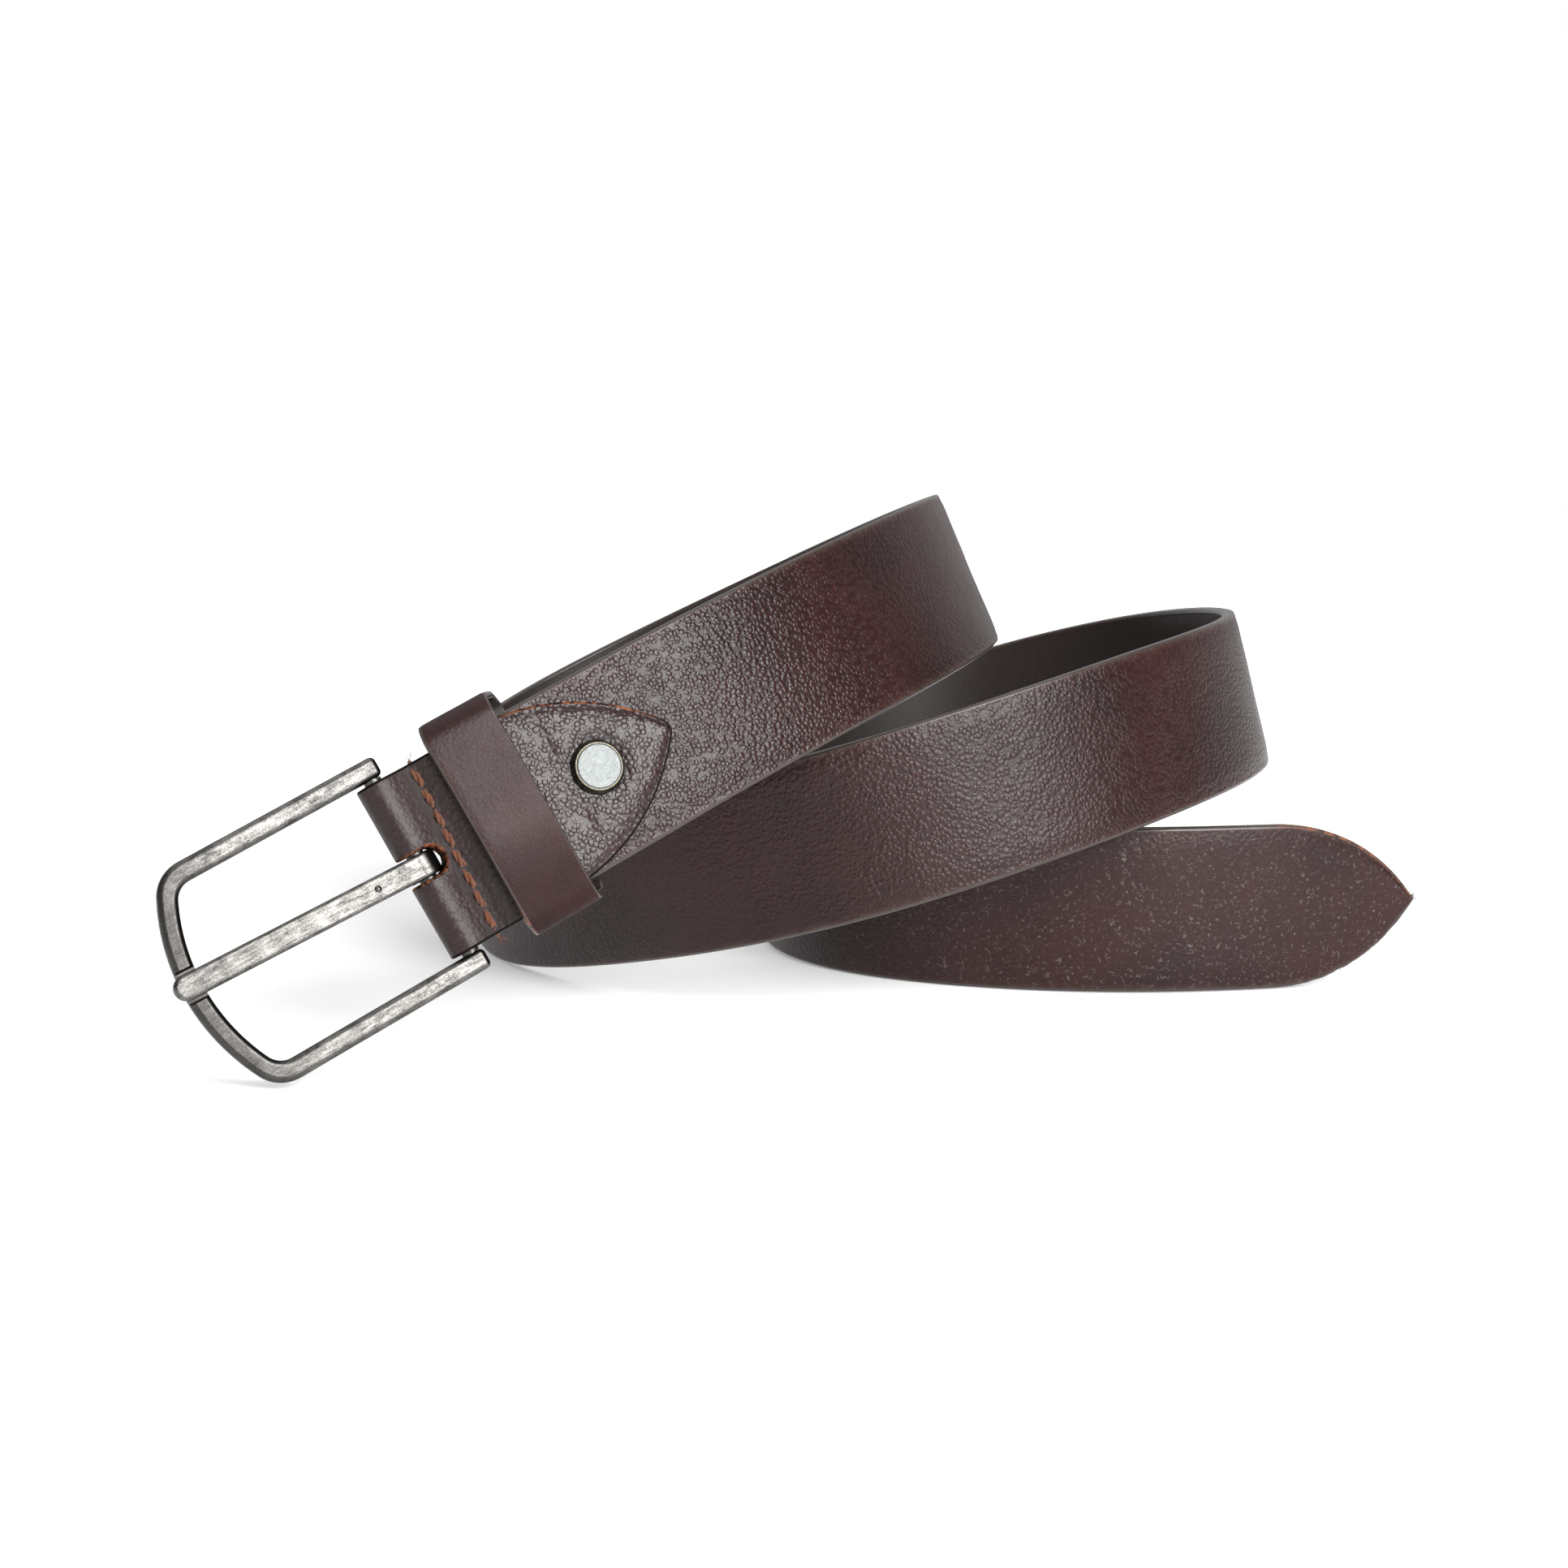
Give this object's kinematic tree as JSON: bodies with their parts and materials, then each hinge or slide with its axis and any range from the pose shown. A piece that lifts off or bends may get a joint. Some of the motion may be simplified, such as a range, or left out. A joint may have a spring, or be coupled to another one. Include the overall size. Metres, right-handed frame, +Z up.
{
  "type": "leather belt",
  "caption": "Dress belt of pebbled brown leather, coiled on its edge, with a pewter frame buckle, prong, keeper loop and riveted pointed chape.",
  "frame": {"origin": "on the floor, under the middle of the belt's overall box", "axes": "+X to the strap's free pointed tip, +Y away from the buckle's side, +Z up; the belt stands on the lower edge of its strap"},
  "size_m": [0.2475, 0.2396, 0.1045],
  "materials": {
    "strap_leather": "fine pebbled grain, semi-gloss, dark chocolate brown, painted edges",
    "chape_leather": "coarse pebbled grain, glossy at the fold, raw cut edges",
    "keeper_leather": "smooth, semi-gloss",
    "thread": "waxed twisted thread",
    "rivet_brass": "aged, satin",
    "rivet_zinc": "bright speckled zinc",
    "staple_steel": "plain wire",
    "buckle_pewter": "antique pewter, dark recesses and bright worn edges",
    "bar_steel": "plain drawn bar"
  },
  "bodies": {
    "strap_body": {"strap": "strap_leather", "chape": "chape_leather", "chape_stitches": "thread", "rivet_washer": "rivet_brass", "rivet_post": "rivet_zinc", "rivet_screw": "rivet_zinc"},
    "keeper_body": {"keeper_loop": "keeper_leather", "keeper_staple": "staple_steel"},
    "buckle_body": {"buckle_frame": "buckle_pewter", "heel_bar": "bar_steel"},
    "prong_body": {"prong": "buckle_pewter"}
  },
  "joints": [
    {"name": "buckle_pivot", "type": "hinge", "parent": "strap_body", "child": "buckle_body", "pos_m": [-0.078, -0.098, 0.037], "axis": [-0.4931, 0.0556, 0.8682], "range_deg": [-80, 10]},
    {"name": "prong_pivot", "type": "hinge", "parent": "buckle_body", "child": "prong_body", "pos_m": [-0.078, -0.098, 0.037], "axis": [-0.4931, 0.0556, 0.8682], "range_deg": [0, 68]},
    {"name": "keeper_slide", "type": "slide", "parent": "strap_body", "child": "keeper_body", "axis": [0.8146, 0.3798, 0.4384], "range_m": [-0.0015, 0.0055]}
  ]
}
